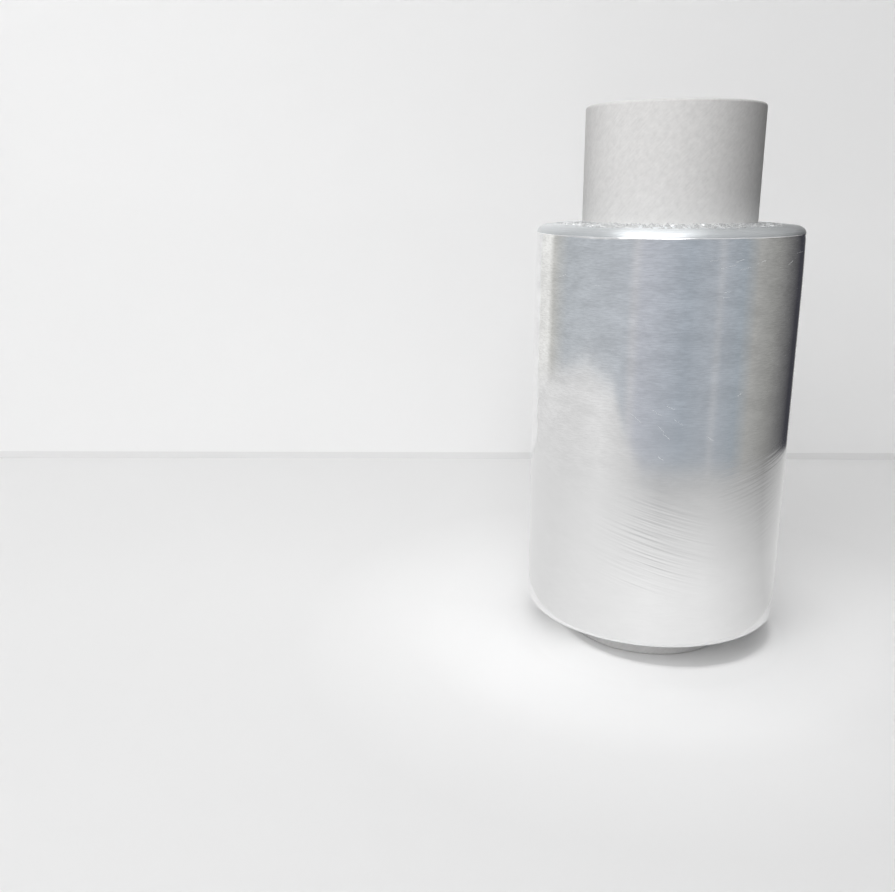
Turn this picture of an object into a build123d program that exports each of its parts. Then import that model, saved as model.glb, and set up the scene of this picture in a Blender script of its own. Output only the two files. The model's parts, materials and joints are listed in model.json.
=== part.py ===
from build123d import *

import os
from math import cos, sin

# A hand roll of clear cling film on a paper core that runs on past the winding as a handle.
# Millimetres, +Z up the core's axis. The origin is the middle of the core's lower end, on the table.

# Paper core: brown board plies inside, one white paper ply outside
CORE_BORE = 38.1          # diameter of the hole, the usual inch and a half
TUBE_WALL = 2.5           # brown board, all plies together
WRAP_THICKNESS = 0.35     # white paper ply glued round the board
STUB_LENGTH = 8.4         # core below the winding, which the roll stands on
HANDLE_LENGTH = 30.8      # core above the winding's upper edge, held in the hand
RIM_BEVEL = 0.6           # cut ends of the core, worn down on the outside
MOUTH_BEVEL = 0.3         # the same on the inside

# Film winding
FILM_DIAMETER = 67.4      # over the outer turn
FILM_WIDTH = 100.0        # from edge to edge of the outer turn
EDGE_BEAD = 0.6           # thickened edge of the web, a narrow band round the top of the wall
SHOULDER_WIDTH = 2.2      # rounded corner above the bead
SHOULDER_RISE = 2.0
CROWN_RISE = 2.6          # inner turns stand this far above the outer turn's edge
FOOT_BEVEL = 1.0          # lower outside corner
FOOT_DISH = 1.2           # inner turns stand this far inside the lower edge
RIDGES = 5                # bundles of turns that show as rings on each end
RIDGE_HEIGHT = 0.16

# Crumpled edge of the first turns, round the foot of the handle
COLLAR_WIDTH = 4.0
COLLAR_HEIGHT = 0.6
CRIMPS = 44               # nicks that break the collar up
CRIMP_SHALLOW = 0.15      # the shallowest nick
CRIMP_DEEP = 0.5          # the deepest nick
CRIMP_SPREAD = 0.3        # how unevenly the nicks are spaced, in shares of their pitch
SPACING_PHASE = 2.4       # radians from nick to nick, so that spacing and depth never repeat in step
DEPTH_PHASE = 1.7

tube_radius = CORE_BORE / 2 + TUBE_WALL
core_radius = tube_radius + WRAP_THICKNESS
film_radius = FILM_DIAMETER / 2
film_bottom = STUB_LENGTH
film_top = film_bottom + FILM_WIDTH
crown_top = film_top + CROWN_RISE
core_length = film_top + HANDLE_LENGTH


def turned(*outline):
    """Revolve a closed outline, drawn as (radius, height), round the core's axis."""
    return revolve(Plane.XZ * make_face(outline), Axis.Z)


def turn_edges(start, end):
    """The edges of the turns between two points of an end face: a row of low ridges, in order."""
    first = Vector(*start)
    run = Vector(*end) - first
    outward = Vector(run.Y, -run.X).normalized() * RIDGE_HEIGHT
    points = [first]
    for ridge in range(RIDGES):
        points.append(first + run * ((ridge + 0.5) / RIDGES) + outward)
        points.append(first + run * ((ridge + 1) / RIDGES))
    return points


def make_core():
    """The tube and its white wrap: one ring with worn rims, parted where the two papers meet."""
    bore_radius = CORE_BORE / 2
    section = make_face(Polyline(
        (bore_radius, 0), (core_radius, 0), (core_radius, core_length), (bore_radius, core_length), close=True))
    section = chamfer(section.vertices().group_by(Axis.X)[-1], RIM_BEVEL)
    section = chamfer(section.vertices().group_by(Axis.X)[0], MOUTH_BEVEL)
    ring = revolve(Plane.XZ * section, Axis.Z)
    board = Cylinder(tube_radius, core_length, align=(Align.CENTER, Align.CENTER, Align.MIN))
    return ring & board, ring - board


def make_winding():
    """All the turns as one solid: straight wall, beaded edge, rounded shoulder and ringed ends."""
    foot_inner = (core_radius, film_bottom + FOOT_DISH)
    foot_face = (film_radius - FOOT_BEVEL, film_bottom)
    wall_foot = (film_radius, film_bottom + FOOT_BEVEL)
    wall_top = (film_radius, film_top)
    bead_top = (film_radius - EDGE_BEAD / 2, film_top + EDGE_BEAD)
    shoulder = (film_radius - SHOULDER_WIDTH, film_top + SHOULDER_RISE)
    crown_outer = (core_radius + COLLAR_WIDTH, crown_top)
    crown_inner = (core_radius, crown_top)
    return turned(
        Polyline(*turn_edges(foot_inner, foot_face), wall_foot, wall_top, bead_top),
        RadiusArc(bead_top, shoulder, -SHOULDER_WIDTH),
        Polyline(*turn_edges(shoulder, crown_outer), crown_inner, foot_inner),
    )


def make_collar():
    """The crumpled edge of the first turns: a leaning ring, nicked unevenly all the way round."""
    ring = turned(Polyline(
        (core_radius, crown_top), (core_radius + COLLAR_WIDTH, crown_top),
        (core_radius, crown_top + COLLAR_HEIGHT), close=True))
    middle_depth = (CRIMP_DEEP + CRIMP_SHALLOW) / 2
    depth_swing = (CRIMP_DEEP - CRIMP_SHALLOW) / 2
    nicks = []
    for nick in range(CRIMPS):
        angle = (nick + CRIMP_SPREAD * sin(SPACING_PHASE * nick)) * 360 / CRIMPS
        depth = middle_depth + depth_swing * cos(DEPTH_PHASE * nick)
        side = depth * 2 ** 0.5
        tip = Pos(core_radius + COLLAR_WIDTH / 2, 0, crown_top + COLLAR_HEIGHT)
        nicks.append(Rot(0, 0, angle) * tip * Rot(45, 0, 0) * Box(2 * COLLAR_WIDTH, side, side))
    return ring - nicks


def main():
    core_tube, core_wrap = make_core()
    film_roll = make_winding() + make_collar()
    os.makedirs("parts", exist_ok=True)
    for name, piece in {"core_tube": core_tube, "core_wrap": core_wrap, "film_roll": film_roll}.items():
        piece.label = name
        export_step(piece, f"parts/{name}.step")


main()
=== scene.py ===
# Looks of the roll of cling film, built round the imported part. Metres, +Z up the core's axis.
import json
from math import cos, radians, sin, tau

import bmesh
import bpy
from mathutils import Euler, Matrix, Vector, noise


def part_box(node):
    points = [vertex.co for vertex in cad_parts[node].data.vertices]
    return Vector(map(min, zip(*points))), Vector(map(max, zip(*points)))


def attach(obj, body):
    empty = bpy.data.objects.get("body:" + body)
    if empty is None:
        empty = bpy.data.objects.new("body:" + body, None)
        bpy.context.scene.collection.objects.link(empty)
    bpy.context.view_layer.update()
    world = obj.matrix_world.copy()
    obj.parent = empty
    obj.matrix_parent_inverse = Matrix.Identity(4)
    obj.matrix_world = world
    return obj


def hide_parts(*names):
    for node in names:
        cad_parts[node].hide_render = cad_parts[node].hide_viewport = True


MM = 0.001
MICRON = 0.000001

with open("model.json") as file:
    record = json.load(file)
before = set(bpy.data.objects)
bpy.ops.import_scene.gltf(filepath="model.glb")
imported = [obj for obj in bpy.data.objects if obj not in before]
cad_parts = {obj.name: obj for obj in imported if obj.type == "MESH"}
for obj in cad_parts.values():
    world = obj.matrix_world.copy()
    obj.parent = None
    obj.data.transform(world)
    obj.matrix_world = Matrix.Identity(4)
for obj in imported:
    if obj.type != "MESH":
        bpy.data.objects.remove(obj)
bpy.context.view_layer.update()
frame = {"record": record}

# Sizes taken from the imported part
tube_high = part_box("core_tube")[1]
wrap_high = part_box("core_wrap")[1]
film_low, film_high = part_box("film_roll")
bore = next(mount for mount in frame["record"]["mounts"] if mount["name"] == "bore")
bore_radius = bore["dims"]["r_mm"] * MM
tube_radius = tube_high.x
core_radius = wrap_high.x
core_top = tube_high.z
film_radius = film_high.x
film_foot = film_low.z
collar_top = film_high.z

# Film winding
CROWN_RISE = 2.6 * MM             # inner turns above the outer turn's edge
SHOULDER_WIDTH = 2.4 * MM         # rounded corner between wall and crown
SHOULDER_RISE = 1.9 * MM
BEAD = 0.3 * MM                   # thickened edge of the web, a fine line below the shoulder
FOOT_CORNER = 0.4 * MM
FOOT_DISH = 1.2 * MM              # inner turns inside the lower edge
RING_HEIGHT = 0.06 * MM           # edges of the turns on both ends
BROAD_RING = 1.37 * MM            # from ring to ring, for two sets of rings that never fall in step
NARROW_RING = 0.43 * MM
SHOULDER_RING_HEIGHT = 0.02 * MM  # finer rings on the shoulder
SHOULDER_RING = 0.45 * MM
DRAW_IN = 0.25 * MM               # the wall necks in below its upper edge
DRAW_LENGTH = 15 * MM
WALL_STEP = 0.8 * MM
FOOT_POINTS = 56                  # points of the section across the foot, the shoulder and the crown
SHOULDER_POINTS = 36
CROWN_POINTS = 100
FILM_STEPS = 224                  # columns of faces round the roll

# Unevenness of the wound film: grain in mm, depth in microns
BAND_LENGTH = 60
BAND_WIDTH = 5
BAND_DEPTH = 7
RIPPLE_LENGTH = 18
RIPPLE_WIDTH = 1.6
RIPPLE_DEPTH = 1.6
RIPPLE_START = 40                 # another part of the noise than the bands
SWELL_LENGTH = 9                  # slow rise and fall of the crown
SWELL_START = 7
SWELL_HEIGHT = 0.12 * MM

# Collar: the crumpled edge of the first turns, round the handle's foot
COLLAR_HEIGHT = 0.6 * MM
COLLAR_WIDTH = 9.0 * MM
COLLAR_ROOT = 2.0 * MM            # how far the collar goes down into the winding
RIDGE_RISE = 0.1 * MM             # above the crown, at the core
BRINK_DROP = 0.15 * MM            # below it, half way out
EDGE_DROP = 0.85 * MM             # and at the outer edge
COLLAR_STEPS = 640
COLLAR_RINGS = 40
PLEATS = [(1.6, 1.0), (0.8, 0.6), (0.4, 0.4)]  # size in mm and share of each set of folds
PLEAT_RADIUS = 24                 # mm from the axis, where the pleats are measured
PLEAT_STRETCH = 2.5               # longer than wide
PLEAT_LEVEL = 0.24                # the middle between ridges and hollows
FOLD_HEIGHT = 1.4 * MM
FOLD_FADE = 5                     # the folds die out over the outer fifth
COLLAR_FULL = Vector((-0.1, -0.99, 0))  # the side where the collar is pushed up most
COLLAR_LEAN = 0.3                 # how much less it is pushed up a quarter turn away, as a share

crown_top = collar_top - COLLAR_HEIGHT
wall_top = crown_top - CROWN_RISE

# Paper core
PLIES = 7                         # brown board plies, whose edges show on the rims
PLY_GROOVE = 0.07 * MM
PLY_FLANK = 0.12                  # share of a ply's edge that falls away to the groove
MOUTH_BEVEL = 0.3 * MM
RIM_ROUND = 0.8 * MM
CORE_STEPS = 192
BORE_RINGS = 48
SEAM_TURN = tau / (120 * MM)      # the inner ply's butt joint goes round once in this height
SEAM_DEPTH = 0.3 * MM
SEAM_REACH = 0.6                  # columns to each side, so that just one is taken
HAIR = 0.01 * MM                  # less than any real size, for telling surfaces apart
FIBRE_TURN = -44.0                # radians that the paper's fibres lean round in each metre of height

# Pulls in the web: angle from the front in degrees, height, reach, lean of the creases in degrees,
# and depth in microns
PULLS = [
    (-3, 31 * MM, 20 * MM, 16, 95), (50, 50 * MM, 15 * MM, -12, 40), (62, 40 * MM, 12 * MM, -14, 60),
    (48, 98 * MM, 20 * MM, -10, 24), (-30, 92 * MM, 24 * MM, -6, 8),
]
CREASE_GRAIN = (20 * MM, 20 * MM, 0.7 * MM)

# Scratches on the film: angle from the front in degrees, then height, length across and rise in mm
SCRATCHES = [
    (-8.0, 67.1, 3.5, -2.9), (-0.4, 68.8, 3.1, -1.8), (5.2, 70.1, 2.4, -0.9), (1.7, 65.0, 2.2, -2.1),
    (4.2, 63.1, 2.2, -1.7), (8.5, 66.6, 2.5, -1.7), (33.6, 72.8, 1.4, 0.9), (2.4, 57.7, 1.7, -1.0),
    (21.7, 62.6, 2.1, -1.3), (-47.5, 99.0, 5.3, 1.3), (-27.3, 97.6, 1.6, 0.2), (67.0, 104.7, 5.0, 0.2),
    (19.0, 103.9, 3.5, 0.4), (24.0, 102.4, 4.6, 0.9), (29.0, 103.7, 2.6, 0.9), (31.5, 101.9, 3.8, 0.7),
    (39.0, 103.2, 3.2, 0.9), (58.0, 102.6, 2.4, 1.0), (24.5, 96.8, 2.2, 0.2), (24.0, 95.6, 1.8, 0.1),
]
SCRATCH_SHARE = 0.8               # each crease's length, as a share of the length listed above
SCRATCH_HEIGHT = 0.03 * MM
SCRATCH_WIDTH = 0.1 * MM


def linear(code):
    """sRGB hex code to linear RGBA."""
    shares = [int(code[i:i + 2], 16) / 255 for i in (1, 3, 5)]
    return [s / 12.92 if s <= 0.04045 else ((s + 0.055) / 1.055) ** 2.4 for s in shares] + [1.0]


def grey(level):
    """A light level, where 1 is white, as linear RGBA."""
    return (level, level, level, 1.0)


def grain_scale(size):
    """What stretches a noise pattern so that its grain measures size = (x, y, z) in metres."""
    return [1 / s for s in size]


def add_node(tree, kind, sockets=None, stops=None, **settings):
    """Add one node with its settings, its sockets' values or links, and its colour stops."""
    node = tree.nodes.new(kind)
    for name, value in settings.items():
        setattr(node, name, value)
    for socket, value in (sockets or {}).items():
        if isinstance(value, bpy.types.NodeSocket):
            tree.links.new(value, node.inputs[socket])
        else:
            node.inputs[socket].default_value = value
    if stops:
        elements = node.color_ramp.elements
        elements.remove(elements[1])
        elements[0].position = stops[0][0]
        elements[0].color = stops[0][1]
        for position, colour in stops[1:]:
            elements.new(position).color = colour
    return node


def new_material(name):
    """An empty node material and its tree."""
    material = bpy.data.materials.new(name)
    material.use_nodes = True
    material.node_tree.nodes.clear()
    return material, material.node_tree


def film_material():
    """Clear stretch film in hundreds of tight turns: each surface mirrors a little, and together they look
    silvery, with fine streaks round the roll from the winding."""
    material, tree = new_material("clear_stretch_film")
    place = add_node(tree, "ShaderNodeTexCoord").outputs["Object"]
    # Fine hairs round the roll, milky clouds, and bands of slack turns
    patterns = []
    for size, detail, roughness in (
            ((1.8 * MM, 1.8 * MM, 0.25 * MM), 3.0, 0.5),
            ((8 * MM, 8 * MM, 4 * MM), 3.0, 0.6),
            ((24 * MM, 24 * MM, 1.2 * MM), 1.0, 0.5)):
        scaled = add_node(
            tree, "ShaderNodeVectorMath", {0: place, 1: grain_scale(size)}, operation="MULTIPLY")
        patterns.append(add_node(tree, "ShaderNodeTexNoise", {
            "Vector": scaled.outputs[0], "Scale": 1.0, "Detail": detail, "Roughness": roughness}).outputs[0])
    hairs, clouds, bands = patterns
    streaky = add_node(tree, "ShaderNodeMapRange", {0: clouds, 1: 0.4, 2: 0.65, 3: 0.1, 4: 0.6})
    height = add_node(
        tree, "ShaderNodeMath", {0: hairs, 1: streaky.outputs[0]}, operation="MULTIPLY").outputs[0]
    height = add_node(
        tree, "ShaderNodeMath", {0: bands, 1: 2.0, 2: height}, operation="MULTIPLY_ADD").outputs[0]
    for angle, level, reach, lean, depth in PULLS:
        middle = Matrix.Rotation(radians(angle), 3, "Z") @ Vector((0, -film_radius, level))
        apart = add_node(tree, "ShaderNodeVectorMath", {0: place, 1: middle}, operation="DISTANCE")
        share = add_node(
            tree, "ShaderNodeMapRange", {0: apart.outputs[1], 1: 0.0, 2: reach, 3: depth, 4: 0.0})
        tilt = Euler((0, radians(lean), radians(angle))).to_matrix().inverted().to_euler()
        turned = add_node(
            tree, "ShaderNodeVectorRotate", {"Vector": place, "Rotation": tilt}, rotation_type="EULER_XYZ")
        scaled = add_node(
            tree, "ShaderNodeVectorMath", {0: turned.outputs[0], 1: grain_scale(CREASE_GRAIN)},
            operation="MULTIPLY")
        creased = add_node(tree, "ShaderNodeTexNoise", {
            "Vector": scaled.outputs[0], "Scale": 1.0, "Detail": 1.0, "Roughness": 0.5})
        height = add_node(
            tree, "ShaderNodeMath", {0: creased.outputs[0], 1: share.outputs[0], 2: height},
            operation="MULTIPLY_ADD").outputs[0]
    bump = add_node(tree, "ShaderNodeBump", {"Height": height, "Strength": 1.0, "Distance": MICRON})
    # Milky veils on the upper wall, which fade to one even tone lower down
    mist = add_node(tree, "ShaderNodeMath", {0: clouds, 1: 1.2, 2: hairs}, operation="MULTIPLY_ADD")
    veil = add_node(tree, "ShaderNodeMapRange", {0: mist.outputs[0], 1: 0.85, 2: 1.4})
    parts = add_node(tree, "ShaderNodeSeparateXYZ", {0: place})
    upper = add_node(
        tree, "ShaderNodeMapRange", {0: parts.outputs[2], 1: 45 * MM, 2: 80 * MM, 3: 0.1, 4: 1.0})
    veil = add_node(tree, "ShaderNodeMix", {0: upper.outputs[0], 2: 0.3, 3: veil.outputs[0]})
    wall = add_node(tree, "ShaderNodeMix", {
        0: veil.outputs[0], 6: linear("#E6E6E6"), 7: linear("#FFFFFF")}, data_type="RGBA")
    around = add_node(tree, "ShaderNodeTangent", direction_type="RADIAL", axis="Z")
    shader = add_node(tree, "ShaderNodeBsdfPrincipled", {
        "Base Color": wall.outputs[2], "Metallic": 1.0, "Roughness": 0.1,
        "Anisotropic": 0.7, "Anisotropic Rotation": 0.25,
        "Tangent": around.outputs[0], "Normal": bump.outputs[0]})
    add_node(tree, "ShaderNodeOutputMaterial", {"Surface": shader.outputs[0]})
    return material


def film_edge_material():
    """The stacked edges of the turns, greyer than the wall, whose rings draw each highlight out towards the
    core."""
    material, tree = new_material("wound_film_edges")
    around = add_node(tree, "ShaderNodeTangent", direction_type="RADIAL", axis="Z")
    shader = add_node(tree, "ShaderNodeBsdfPrincipled", {
        "Base Color": linear("#CDD0D2"), "Metallic": 0.7, "Roughness": 0.45,
        "Anisotropic": 0.9, "Anisotropic Rotation": 0.25, "Tangent": around.outputs[0]})
    add_node(tree, "ShaderNodeOutputMaterial", {"Surface": shader.outputs[0]})
    return material


def scuffed_film_material():
    """Film that a scratch or a fold has whitened, so it scatters light where the sheet round it mirrors."""
    material, tree = new_material("scuffed_film")
    shader = add_node(tree, "ShaderNodeBsdfPrincipled", {
        "Base Color": linear("#EEF0F1"), "Metallic": 0.6, "Roughness": 0.15})
    add_node(tree, "ShaderNodeOutputMaterial", {"Surface": shader.outputs[0]})
    return material


def paper_material():
    """Uncoated white wrapping paper, matte, with long pulp fibres that lie along the wrap's spiral."""
    material, tree = new_material("white_paper")
    place = add_node(tree, "ShaderNodeTexCoord").outputs["Object"]
    parts = add_node(tree, "ShaderNodeSeparateXYZ", {0: place})
    turn = add_node(tree, "ShaderNodeMath", {0: parts.outputs[2], 1: FIBRE_TURN}, operation="MULTIPLY")
    spiral = add_node(
        tree, "ShaderNodeVectorRotate", {"Vector": place, "Angle": turn.outputs[0]}, rotation_type="Z_AXIS")
    # Fibres along the spiral and clots of pulp between them, added up by their shares
    mixed = 0.0
    for field, size, detail, roughness, share in (
            (spiral.outputs[0], (0.4 * MM, 0.4 * MM, 1.8 * MM), 3.0, 0.6, 0.42),
            (place, (1.3 * MM, 1.3 * MM, 1.3 * MM), 4.0, 0.7, 0.58)):
        scaled = add_node(
            tree, "ShaderNodeVectorMath", {0: field, 1: grain_scale(size)}, operation="MULTIPLY")
        pulp = add_node(tree, "ShaderNodeTexNoise", {
            "Vector": scaled.outputs[0], "Scale": 1.0, "Detail": detail, "Roughness": roughness})
        mixed = add_node(
            tree, "ShaderNodeMath", {0: pulp.outputs[0], 1: share, 2: mixed},
            operation="MULTIPLY_ADD").outputs[0]
    tone = add_node(tree, "ShaderNodeValToRGB", {0: mixed}, [
        (0.32, linear("#D5D4D3")), (0.5, linear("#DEDDDC")), (0.68, linear("#E6E5E4"))])
    bump = add_node(
        tree, "ShaderNodeBump", {"Height": mixed, "Strength": 0.5, "Distance": 60 * MICRON})
    shader = add_node(tree, "ShaderNodeBsdfPrincipled", {
        "Base Color": tone.outputs[0], "Roughness": 0.85, "Specular IOR Level": 0.25,
        "Normal": bump.outputs[0]})
    add_node(tree, "ShaderNodeOutputMaterial", {"Surface": shader.outputs[0]})
    return material


def board_material(name, light, middle, dark):
    """Unbleached recycled board: brown, matte, flecked with darker fibres."""
    material, tree = new_material(name)
    place = add_node(tree, "ShaderNodeTexCoord").outputs["Object"]
    scaled = add_node(
        tree, "ShaderNodeVectorMath", {0: place, 1: grain_scale((0.5 * MM, 0.5 * MM, 0.9 * MM))},
        operation="MULTIPLY")
    flecks = add_node(tree, "ShaderNodeTexNoise", {
        "Vector": scaled.outputs[0], "Scale": 1.0, "Detail": 4.0, "Roughness": 0.65}).outputs[0]
    tone = add_node(tree, "ShaderNodeValToRGB", {0: flecks}, [
        (0.3, linear(dark)), (0.5, linear(middle)), (0.7, linear(light))])
    bump = add_node(
        tree, "ShaderNodeBump", {"Height": flecks, "Strength": 0.6, "Distance": 60 * MICRON})
    shader = add_node(tree, "ShaderNodeBsdfPrincipled", {
        "Base Color": tone.outputs[0], "Roughness": 0.9, "Specular IOR Level": 0.2,
        "Normal": bump.outputs[0]})
    add_node(tree, "ShaderNodeOutputMaterial", {"Surface": shader.outputs[0]})
    return material


def stretch(start, end, count):
    """Evenly spaced points from start up to, but not at, end."""
    return [tuple(a + (b - a) * i / count for a, b in zip(start, end)) for i in range(count)]


def corner(middle, radii, start, end, count):
    """Points of an ellipse's arc, both ends included, with angles in degrees."""
    turns = [radians(start + (end - start) * i / count) for i in range(count + 1)]
    return [(middle[0] + radii[0] * cos(t), middle[1] + radii[1] * sin(t)) for t in turns]


def spun(outline, steps, closed=True):
    """An outline of (radius, height) turned once round the core's axis."""
    mesh = bmesh.new()
    points = [mesh.verts.new((r, 0, z)) for r, z in outline]
    following = points[1:] + points[:1] if closed else points[1:]
    sides = [mesh.edges.new(pair) for pair in zip(points, following)]
    bmesh.ops.spin(
        mesh, geom=points + sides, cent=(0, 0, 0), axis=(0, 0, 1), angle=tau, steps=steps, use_merge=True)
    bmesh.ops.recalc_face_normals(mesh, faces=mesh.faces)
    return mesh


def finish_piece(mesh, name, materials, smooth=True):
    """Turn a bmesh into an object of the scene."""
    data = bpy.data.meshes.new(name)
    for face in mesh.faces:
        face.smooth = smooth
    mesh.to_mesh(data)
    mesh.free()
    for material in materials:
        data.materials.append(material)
    piece = bpy.data.objects.new(name, data)
    bpy.context.scene.collection.objects.link(piece)
    return piece


def join_frame(piece, node):
    """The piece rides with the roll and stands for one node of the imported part."""
    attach(piece, "root")
    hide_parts(node)


def turn_edge(r):
    """How far the edges of the turns stand out of an end face at radius r."""
    broad = 0.6 * sin(tau * r / BROAD_RING)
    narrow = 0.4 * sin(tau * r / NARROW_RING + 1.3)
    return RING_HEIGHT * (broad + narrow)


def wall_radius(z):
    """The wall's radius at height z: it necks in below its upper edge."""
    share = max(0, (z - wall_top + DRAW_LENGTH) / DRAW_LENGTH)
    return film_radius - DRAW_IN * share ** 2


def film_outline():
    """Section of the winding, from the core outwards under the foot, up the wall and back over the crown."""
    foot_edge = film_radius - FOOT_CORNER
    outline = []
    for r, z in stretch((core_radius, film_foot + FOOT_DISH), (foot_edge, film_foot), FOOT_POINTS):
        outline.append((r, z - turn_edge(r)))
    outline += corner((foot_edge, film_foot + FOOT_CORNER), (FOOT_CORNER, FOOT_CORNER), -90, 0, 6)
    wall_foot = film_foot + FOOT_CORNER + WALL_STEP
    wall_points = int((wall_top - wall_foot) / WALL_STEP)
    for _, z in stretch((film_radius, wall_foot), (film_radius, wall_top), wall_points):
        outline.append((wall_radius(z), z))
    rim = film_radius - DRAW_IN
    outline += corner((rim - BEAD / 4, wall_top + BEAD / 2), (BEAD / 4, BEAD / 2), -60, 70, 5)
    round_middle = (rim - SHOULDER_WIDTH - BEAD / 4, wall_top + BEAD)
    for r, z in corner(round_middle, (SHOULDER_WIDTH, SHOULDER_RISE), 4, 78, SHOULDER_POINTS):
        outline.append((r, z + SHOULDER_RING_HEIGHT * sin(tau * z / SHOULDER_RING)))
    crown_edge = (core_radius, crown_top)
    for r, z in stretch(outline[-1], crown_edge, CROWN_POINTS)[1:]:
        outline.append((r, z + turn_edge(r)))
    outline.append(crown_edge)
    return outline


def build_film(film, edges):
    """The winding as one mesh, its wall and ends very slightly uneven, as wound film is."""
    mesh = spun(film_outline(), FILM_STEPS)
    inner_limit = core_radius + 0.2 * MM
    crown_limit = wall_top - 0.3 * MM
    for vert in mesh.verts:
        out = Vector((vert.co.x, vert.co.y, 0)).normalized()
        if out.dot(vert.co) < inner_limit:
            continue
        x, y, z = vert.co / MM
        bands = noise.noise((x / BAND_LENGTH, y / BAND_LENGTH, z / BAND_WIDTH)) * BAND_DEPTH
        ripple = noise.noise(
            (x / RIPPLE_LENGTH, y / RIPPLE_LENGTH, z / RIPPLE_WIDTH + RIPPLE_START)) * RIPPLE_DEPTH
        vert.co += out * (bands + ripple) * MICRON
        if vert.co.z > crown_limit:
            vert.co.z += noise.noise((x / SWELL_LENGTH, y / SWELL_LENGTH, SWELL_START)) * SWELL_HEIGHT
    for face in mesh.faces:
        middle = face.calc_center_median()
        if middle.z > wall_top + BEAD or middle.z < film_foot + FOOT_CORNER / 2:
            face.material_index = 1
    return finish_piece(mesh, "film_winding", [film, edges])


def pleats(out, r, size):
    """Sharp-ridged folds of one size in mm, drawn out away from the core, as in gathered film."""
    ring = out * PLEAT_RADIUS / size
    return PLEAT_LEVEL - abs(noise.noise((ring.x, ring.y, r / MM / size / PLEAT_STRETCH + size)))


def build_collar(scuffed):
    """Crumpled edge of the first turns, pushed up round the handle's foot: most at the front."""
    root = crown_top - COLLAR_ROOT
    outer = core_radius + COLLAR_WIDTH
    ridge = (core_radius, crown_top + RIDGE_RISE)
    brink = (core_radius + COLLAR_WIDTH / 2, crown_top - BRINK_DROP)
    outline = [(core_radius, root), (outer, root)]
    outline += stretch((outer, crown_top - EDGE_DROP), brink, COLLAR_RINGS // 2)
    outline += stretch(brink, ridge, COLLAR_RINGS // 2) + [ridge]
    mesh = spun(outline, COLLAR_STEPS)
    for vert in mesh.verts:
        if vert.co.z < root + 0.1 * MM:
            continue
        out = Vector((vert.co.x, vert.co.y, 0)).normalized()
        r = out.dot(vert.co)
        full = 1 - COLLAR_LEAN + COLLAR_LEAN * out.dot(COLLAR_FULL)
        near = 1 - (r - core_radius) / COLLAR_WIDTH
        folds = sum(share * pleats(out, r, size) for size, share in PLEATS)
        vert.co.z += folds * FOLD_HEIGHT * min(1, FOLD_FADE * near) * full
        vert.co.z -= COLLAR_HEIGHT * (1 - full)
    return finish_piece(mesh, "film_collar", [scuffed])


def build_scratches(scuffed):
    """Each scratch is a thin raised crease of film that lies on the wall."""
    mesh = bmesh.new()
    for angle, height, across, rise in SCRATCHES:
        length = (across ** 2 + rise ** 2) ** 0.5 * MM
        crease = bmesh.ops.create_cube(mesh, size=1.0)["verts"]
        bmesh.ops.scale(mesh, verts=crease, vec=(length * SCRATCH_SHARE, SCRATCH_HEIGHT, SCRATCH_WIDTH))
        lean = Matrix.Rotation(-Vector((across, rise)).angle_signed(Vector((1, 0))), 3, "Y")
        bmesh.ops.rotate(mesh, verts=crease, cent=(0, 0, 0), matrix=lean)
        bmesh.ops.translate(mesh, verts=crease, vec=(0, -wall_radius(height * MM), height * MM))
        bmesh.ops.rotate(mesh, verts=crease, cent=(0, 0, 0), matrix=Matrix.Rotation(radians(angle), 3, "Z"))
    return finish_piece(mesh, "film_scratches", [scuffed], smooth=False)


def tube_outline():
    """Section of the board tube: bore, mouths and rims with the grooves between the plies."""
    rim_inner = bore_radius + MOUTH_BEVEL
    rim_outer = core_radius - RIM_ROUND
    ply = (rim_outer - rim_inner) / PLIES
    bottom = [(rim_inner, 0)]
    for index in range(PLIES):
        start = rim_inner + index * ply
        bottom += [(start + ply * PLY_FLANK, 0), (start + ply * (1 - PLY_FLANK), 0)]
        bottom.append((start + ply, PLY_GROOVE))
    wall = stretch((bore_radius, core_top - MOUTH_BEVEL), (bore_radius, MOUTH_BEVEL), BORE_RINGS)
    top = [(r, core_top - depth) for r, depth in reversed(bottom)]
    outer = [(tube_radius, RIM_ROUND), (tube_radius, core_top - RIM_ROUND)]
    return bottom + outer + top + wall + [(bore_radius, MOUTH_BEVEL)]


def build_tube(board, seam_tone):
    """The board tube, with the butt joint of its inner ply running up the bore as a spiral groove."""
    mesh = spun(tube_outline(), CORE_STEPS)
    inside = [v for v in mesh.verts if v.co.xy.length < bore_radius + HAIR]
    column = tau / CORE_STEPS
    inner = set(inside)
    strip = []
    for face in mesh.faces:
        turned = face.calc_center_median().xy.angle_signed(Vector((0, 1)))
        if inner.issuperset(face.verts) and abs(turned) < column * SEAM_REACH:
            strip.append(face)
    for face in strip:
        face.material_index = 1
    for vert in inside:
        vert.co = Matrix.Rotation(vert.co.z * SEAM_TURN, 3, "Z") @ vert.co
    sunk = bmesh.ops.extrude_face_region(mesh, geom=strip)["geom"]
    bmesh.ops.delete(mesh, geom=strip, context="FACES_ONLY")
    for vert in sunk:
        if isinstance(vert, bmesh.types.BMVert):
            vert.co += Vector((vert.co.x, vert.co.y, 0)).normalized() * SEAM_DEPTH
    bmesh.ops.recalc_face_normals(mesh, faces=mesh.faces)
    return finish_piece(mesh, "core_board", [board, seam_tone], smooth=False)


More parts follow.
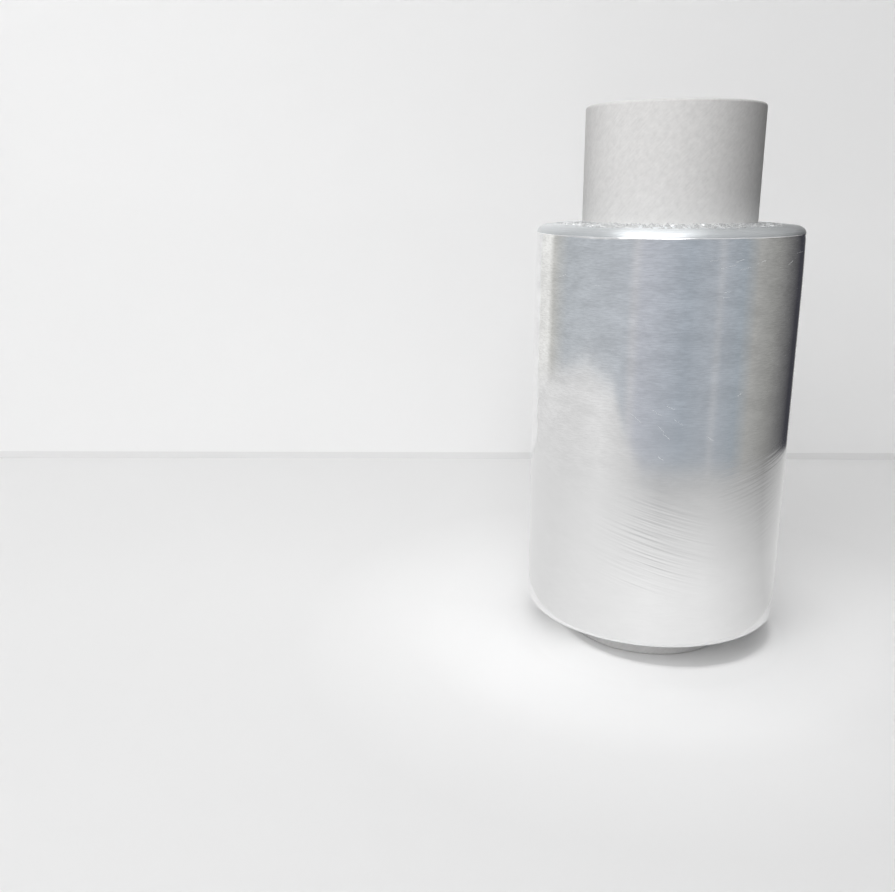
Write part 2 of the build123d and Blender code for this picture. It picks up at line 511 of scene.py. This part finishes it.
def build_wrap(paper):
    """The white outer ply, rolled over the rims where the blade pressed its cut edges down."""
    middle = core_radius - RIM_ROUND
    under = RIM_ROUND - (core_radius - tube_radius)
    outline = corner((middle, RIM_ROUND), (RIM_ROUND, RIM_ROUND), -90, 0, 6)
    outline += corner((middle, core_top - RIM_ROUND), (RIM_ROUND, RIM_ROUND), 0, 90, 6)
    outline += corner((middle, core_top - RIM_ROUND), (under, under), 90, 0, 4)
    outline += corner((middle, RIM_ROUND), (under, under), 0, -90, 4)
    mesh = spun(outline, CORE_STEPS)
    return finish_piece(mesh, "core_paper", [paper])


film = film_material()
paper = paper_material()
board = board_material("brown_board", "#C7A982", "#B4936A", "#957551")
# A darker brown board along the seam groove in the bore
seam_tone = board_material("dark_seam_board", "#6E5236", "#5A412A", "#46321F")
scuffed = scuffed_film_material()
film_winding = build_film(film, film_edge_material())
film_collar = build_collar(scuffed)
film_scratches = build_scratches(scuffed)
core_board = build_tube(board, seam_tone)
core_paper = build_wrap(paper)
for piece in (film_winding, film_collar, film_scratches):
    join_frame(piece, "film_roll")
join_frame(core_board, "core_tube")
join_frame(core_paper, "core_wrap")

# Camera: the photograph's place and lens
CAMERA_PLACE = (0, -0.2509, 0.1196)
CAMERA_LENS = 37.33               # mm
CAMERA_SENSOR = 36
VIEW_YAW = 13.08                  # degrees the camera turns left of the roll
VIEW_PITCH = 15.51                # and looks down
VIEW_ROLL = -0.19

# Stage: a white table, a wall behind it and the pale room that the film mirrors
TABLE_RADIUS = 0.8
WALL_DISTANCE = 0.164
WALL_YAW = 11.9                   # degrees that the wall is turned, nearly square to the camera
WALL_REACH = 0.7                  # to each side
WALL_HEAD = 1.2
CORNER_SHADE_HEIGHT = 3 * MM             # painted shade: a greyer strip where the wall meets the table
CARD_DISTANCE = 0.155             # glowing cards, painted reflections that the crown mirrors
CARD_FOOT = 0.112
CARD_HEAD = 0.3
ARC_RADIUS = 0.06                 # black cards round the handle
ARC_FOOT = 0.09
ARC_HEAD = 0.2
ARC_STEP = 6                      # degrees for each face
LAMP_DISTANCE = 1.2
LAMP_AIM = Vector((0, 0, 0.07))
ROOM_FILL = (0.035, 0.035, 0.036, 1.0)  # what the world lights the roll with
ROOM_SEEN = grey(0.9)                   # how it looks, straight and in the film

# Painted light on the table, a glow for the light that the film throws there: (distance from the axis in
# shares of GLOW_REACH, level), then where round the roll it falls, as (share of a turn from the back by the
# left, level)
GLOW_REACH = 0.1
GLOW_LEVELS = [
    (0.24, 0.36), (0.31, 0.27), (0.34, 0.19), (0.38, 0.1), (0.46, 0.07), (0.55, 0.06), (0.7, 0.02),
    (1.0, 0.0)]
GLOW_SIDES = [(0.25, 0.0), (0.4, 1.0), (0.67, 1.0), (0.74, 0.8), (0.83, 0.3), (0.9, 0.0)]
FOOT_SHADE = (5 * MM, 2 * MM, 0)  # middle of the shadow under the winding's foot
SHADE_INNER = 28.5 * MM           # the glow begins outside the shadow
SHADE_OUTER = 30.5 * MM

# The mirrored room, painted on a glowing surround that only mirrors see, as (degrees from the front, to the
# right, and the level seen there)
SURROUND_RADIUS = 0.21
SURROUND_HEAD = 0.14
SURROUND_STEPS = 96
TABLE_SHARE = 0.048               # the table shows itself in the film out to this radius
TABLE_GAP = 0.4 * MM
NEAR_RADIUS = 0.085               # from here outwards the table's near tone passes into its far tone
ROOM_TONES = [
    # Pale wall at the back and the left
    (-165, grey(0.70)), (-111, (0.85, 0.85, 0.83, 1.0)), (-103, (0.55, 0.55, 0.53, 1.0)),
    # Bluish daylight in front, with two pale uprights
    (-84, (0.48, 0.51, 0.54, 1.0)), (-28, (0.50, 0.53, 0.57, 1.0)), (-22, (0.57, 0.58, 0.61, 1.0)),
    (-16, (0.50, 0.52, 0.57, 1.0)), (18, (0.39, 0.43, 0.48, 1.0)), (38, (0.40, 0.43, 0.47, 1.0)),
    (43, (0.46, 0.48, 0.51, 1.0)), (48, (0.39, 0.42, 0.46, 1.0)), (62, (0.35, 0.39, 0.43, 1.0)),
    # Dim side at the right, and back to the wall
    (76, (0.39, 0.39, 0.38, 1.0)), (95, (0.30, 0.30, 0.29, 1.0)), (112, grey(0.18)),
    (135, (0.05, 0.05, 0.06, 1.0)), (147, (0.05, 0.05, 0.06, 1.0)), (153, grey(0.35)), (180, grey(0.70)),
]
# The table's level near the roll and far from it, in that painted reflection, darker at the right where the
# table lies in shade
TABLE_NEAR = [(-180, 0.77), (-80, 0.80), (0, 0.95), (40, 0.88), (100, 0.60), (180, 0.77)]
TABLE_FAR = [
    (-180, 0.77), (-80, 0.76), (-45, 0.80), (-20, 0.68), (5, 0.50), (25, 0.50), (50, 0.50), (100, 0.32),
    (180, 0.77)]
# How high the table's tone reaches up the room, from 0 to 1
TABLE_LIFT = [
    (-180, 0.2), (-120, 0.3), (-60, 0.4), (-36, 0.32), (-22, 0.1), (-8, 0.0), (160, 0.0), (180, 0.2)]


def black_cloth_material():
    """Black cotton cloth, matte, which takes light away and gives nearly none back."""
    material, tree = new_material("black_cloth")
    shader = add_node(tree, "ShaderNodeBsdfPrincipled", {
        "Base Color": linear("#202020"), "Roughness": 0.7, "Specular IOR Level": 0.2})
    add_node(tree, "ShaderNodeOutputMaterial", {"Surface": shader.outputs[0]})
    return material


def wall_material(name, colour):
    """Matte white paint on the side towards the roll, and nothing from behind, where other views look
    through."""
    material, tree = new_material(name)
    shader = add_node(tree, "ShaderNodeBsdfPrincipled", {
        "Base Color": linear(colour), "Roughness": 0.7, "Specular IOR Level": 0.2})
    behind = add_node(tree, "ShaderNodeNewGeometry").outputs["Backfacing"]
    air = add_node(tree, "ShaderNodeBsdfTransparent")
    sides = add_node(tree, "ShaderNodeMixShader", {0: behind, 1: shader.outputs[0], 2: air.outputs[0]})
    add_node(tree, "ShaderNodeOutputMaterial", {"Surface": sides.outputs[0]})
    return material


def bearing_share(tree, place):
    """Where a point lies round the roll, from 0 at the back by the left, the front and the right to 1 at the
    back."""
    parts = add_node(tree, "ShaderNodeSeparateXYZ", {0: place})
    depth = add_node(tree, "ShaderNodeMath", {0: parts.outputs[1], 1: -1.0}, operation="MULTIPLY")
    bearing = add_node(
        tree, "ShaderNodeMath", {0: parts.outputs[0], 1: depth.outputs[0]}, operation="ARCTAN2")
    return add_node(
        tree, "ShaderNodeMath", {0: bearing.outputs[0], 1: 1 / tau, 2: 0.5},
        operation="MULTIPLY_ADD").outputs[0]


def axis_reach(tree, place):
    """How far a point lies from the roll's axis."""
    flat = add_node(tree, "ShaderNodeVectorMath", {0: place, 1: (1, 1, 0)}, operation="MULTIPLY")
    return add_node(tree, "ShaderNodeVectorMath", {0: flat.outputs[0]}, operation="LENGTH").outputs[1]


def seen_rays(tree):
    """1 for the rays that show a surface to the eye, straight or in the film, and 0 for those that light the
    roll."""
    path = add_node(tree, "ShaderNodeLightPath")
    seen = path.outputs["Is Camera Ray"]
    for kind in ("Is Glossy Ray", "Is Transmission Ray"):
        seen = add_node(
            tree, "ShaderNodeMath", {0: seen, 1: path.outputs[kind]}, operation="ADD").outputs[0]
    return seen


def table_material():
    """Matte white paint, which keeps the roll's shadow, turns greyer away from the roll with painted shade,
    and shows a painted glow for the light that the film throws down round its foot."""
    material, tree = new_material("white_table")
    place = add_node(tree, "ShaderNodeTexCoord").outputs["Object"]
    reach = add_node(
        tree, "ShaderNodeMath", {0: axis_reach(tree, place), 1: GLOW_REACH}, operation="DIVIDE").outputs[0]
    thrown = add_node(
        tree, "ShaderNodeValToRGB", {0: reach}, [(at, grey(level)) for at, level in GLOW_LEVELS])
    # Painted shade: the table's paint turns greyer from 60 to 100 mm out from the axis
    paint = add_node(
        tree, "ShaderNodeValToRGB", {0: reach}, [(0.6, linear("#F2F2F2")), (1.0, linear("#EBEBEB"))])
    lit_side = add_node(
        tree, "ShaderNodeValToRGB", {0: bearing_share(tree, place)},
        [(at, grey(level)) for at, level in GLOW_SIDES])
    shade = add_node(tree, "ShaderNodeVectorMath", {0: place, 1: FOOT_SHADE}, operation="DISTANCE")
    clear = add_node(tree, "ShaderNodeMapRange", {0: shade.outputs[1], 1: SHADE_INNER, 2: SHADE_OUTER})
    # Painted light: the table glows round the foot, for the eye and the film only
    glow = thrown.outputs[0]
    for factor in (lit_side.outputs[0], clear.outputs[0], seen_rays(tree)):
        glow = add_node(tree, "ShaderNodeMath", {0: glow, 1: factor}, operation="MULTIPLY").outputs[0]
    shader = add_node(tree, "ShaderNodeBsdfPrincipled", {
        "Base Color": paint.outputs[0], "Roughness": 0.7, "Specular IOR Level": 0.2,
        "Emission Color": grey(1.0), "Emission Strength": glow})
    add_node(tree, "ShaderNodeOutputMaterial", {"Surface": shader.outputs[0]})
    return material


def surround_material():
    """A glowing surround that only mirrors see, painted with what the film mirrors: the table's far part
    below and the room's tones round the roll.
    """
    material, tree = new_material("room_tones")
    place = add_node(tree, "ShaderNodeTexCoord").outputs["Object"]
    parts = add_node(tree, "ShaderNodeSeparateXYZ", {0: place})
    share = bearing_share(tree, place)
    runs = [ROOM_TONES]
    for levels in (TABLE_NEAR, TABLE_FAR, TABLE_LIFT):
        runs.append([(angle, grey(level)) for angle, level in levels])
    ramps = []
    for run in runs:
        stops = [((angle + 180) / 360, tone) for angle, tone in run]
        ramps.append(add_node(tree, "ShaderNodeValToRGB", {0: share}, stops).outputs[0])
    tones, near, far, lift = ramps
    away = add_node(
        tree, "ShaderNodeMapRange", {0: axis_reach(tree, place), 1: NEAR_RADIUS, 2: SURROUND_RADIUS})
    table = add_node(tree, "ShaderNodeMix", {0: away.outputs[0], 6: near, 7: far}, data_type="RGBA")
    # The table's tone passes into the room's between these two heights
    foot = add_node(tree, "ShaderNodeMath", {0: lift, 1: 0.1, 2: 1 * MM}, operation="MULTIPLY_ADD")
    head = add_node(tree, "ShaderNodeMath", {0: lift, 1: 0.12, 2: 3 * MM}, operation="MULTIPLY_ADD")
    raised = add_node(
        tree, "ShaderNodeMapRange", {0: parts.outputs[2], 1: foot.outputs[0], 2: head.outputs[0]})
    seen = add_node(
        tree, "ShaderNodeMix", {0: raised.outputs[0], 6: table.outputs[2], 7: tones}, data_type="RGBA")
    glow = add_node(tree, "ShaderNodeEmission", {"Color": seen.outputs[2], "Strength": 1.0})
    add_node(tree, "ShaderNodeOutputMaterial", {"Surface": glow.outputs[0]})
    return material


def card_material(name, level):
    """A card that glows evenly white all over, a painted reflection for the film."""
    material, tree = new_material(name)
    glow = add_node(tree, "ShaderNodeEmission", {"Color": grey(1.0), "Strength": level})
    add_node(tree, "ShaderNodeOutputMaterial", {"Surface": glow.outputs[0]})
    return material


def stage_piece(mesh, name, material, hidden_from=()):
    """An object that isn't part of the roll, and that some kinds of rays don't see."""
    piece = finish_piece(mesh, name, [material])
    for rays in hidden_from:
        setattr(piece, "visible_" + rays, False)


def facing(left, right, distance, foot, head):
    """An upright rectangle that faces the roll from behind it."""
    mesh = bmesh.new()
    corners = [(left, foot), (right, foot), (right, head), (left, head)]
    mesh.faces.new([mesh.verts.new((across, distance, z)) for across, z in corners])
    turn = Matrix.Rotation(radians(WALL_YAW), 3, "Z")
    bmesh.ops.rotate(mesh, verts=mesh.verts, cent=(0, 0, 0), matrix=turn)
    return mesh


def handle_arc(start, sweep):
    """An upright strip round part of the handle, from a bearing in degrees and over so many more."""
    mesh = bmesh.new()
    across = ARC_RADIUS * sin(radians(start))
    depth = -ARC_RADIUS * cos(radians(start))
    ends = [mesh.verts.new((across, depth, z)) for z in (ARC_FOOT, ARC_HEAD)]
    stile = mesh.edges.new(ends)
    bmesh.ops.spin(
        mesh, geom=ends + [stile], cent=(0, 0, 0), axis=(0, 0, 1), angle=radians(sweep),
        steps=sweep // ARC_STEP)
    return mesh


floor_mesh = bmesh.new()
bmesh.ops.create_circle(floor_mesh, cap_ends=True, segments=64, radius=TABLE_RADIUS)
stage_piece(floor_mesh, "table", table_material())
stage_piece(
    facing(-WALL_REACH, WALL_REACH, WALL_DISTANCE, CORNER_SHADE_HEIGHT, WALL_HEAD), "wall",
    wall_material("white_wall", "#FAFAFA"))
# Painted shade: a greyer strip along the wall's foot, where it meets the table
stage_piece(
    facing(-WALL_REACH, WALL_REACH, WALL_DISTANCE, 0, CORNER_SHADE_HEIGHT), "painted_corner_shade",
    wall_material("painted_corner_shade", "#EDEDED"))

# Only mirrors see the room and the white cards, and only bounced light meets the black arcs
MIRRORED_ONLY = ("camera", "diffuse", "transmission", "shadow")
BOUNCE_ONLY = ("camera", "glossy", "shadow")
room_outline = [(TABLE_SHARE, TABLE_GAP), (SURROUND_RADIUS, TABLE_GAP), (SURROUND_RADIUS, SURROUND_HEAD)]
room_mesh = spun(room_outline, SURROUND_STEPS, closed=False)
stage_piece(room_mesh, "room_tones", surround_material(), MIRRORED_ONLY)
for name, left, right, level in (("left_card", -0.25, -0.006, 1.1), ("right_card", 0.055, 0.25, 0.36)):
    card_mesh = facing(left, right, CARD_DISTANCE, CARD_FOOT, CARD_HEAD)
    stage_piece(card_mesh, name, card_material(name, level), MIRRORED_ONLY)
black_cloth = black_cloth_material()
for name, start, sweep in (("right_arc", 20, 150), ("left_arc", -120, 36)):
    stage_piece(handle_arc(start, sweep), name, black_cloth, BOUNCE_ONLY)


def area_light(name, bearing, lift, size, power):
    """A softbox aimed at the roll. Bearing is from the front, to the right; lift is above the table."""
    light = bpy.data.lights.new(name, "AREA")
    light.shape = "RECTANGLE"
    light.size, light.size_y = size
    light.energy = power
    lamp = bpy.data.objects.new(name, light)
    across = LAMP_DISTANCE * cos(radians(lift))
    height = LAMP_DISTANCE * sin(radians(lift))
    lamp.location = (across * sin(radians(bearing)), -across * cos(radians(bearing)), height)
    aim = LAMP_AIM - lamp.location
    lamp.rotation_euler = aim.to_track_quat("-Z", "Y").to_euler()
    bpy.context.scene.collection.objects.link(lamp)


area_light("key_softbox", -13, 37, (1.1, 0.6), 9.0)
area_light("top_softbox", -14, 74, (1.1, 0.7), 4.3)

world = bpy.data.worlds.new("room")
world.use_nodes = True
tree = world.node_tree
tree.nodes.clear()
backdrop = add_node(tree, "ShaderNodeMix", {0: seen_rays(tree), 6: ROOM_FILL, 7: ROOM_SEEN}, data_type="RGBA")
air = add_node(tree, "ShaderNodeBackground", {"Color": backdrop.outputs[2], "Strength": 1.0})
add_node(tree, "ShaderNodeOutputWorld", {"Surface": air.outputs[0]})
bpy.context.scene.world = world

camera_data = bpy.data.cameras.new("camera")
camera_data.lens = CAMERA_LENS
camera_data.sensor_width = CAMERA_SENSOR
camera_data.clip_start = 0.01
camera = bpy.data.objects.new("camera", camera_data)
camera.matrix_world = (
    Matrix.Translation(CAMERA_PLACE)
    @ Euler((radians(90 - VIEW_PITCH), 0, radians(VIEW_YAW))).to_matrix().to_4x4()
    @ Matrix.Rotation(radians(VIEW_ROLL), 4, "Z"))
bpy.context.scene.collection.objects.link(camera)
bpy.context.scene.camera = camera
bpy.context.scene.view_settings.view_transform = "Standard"
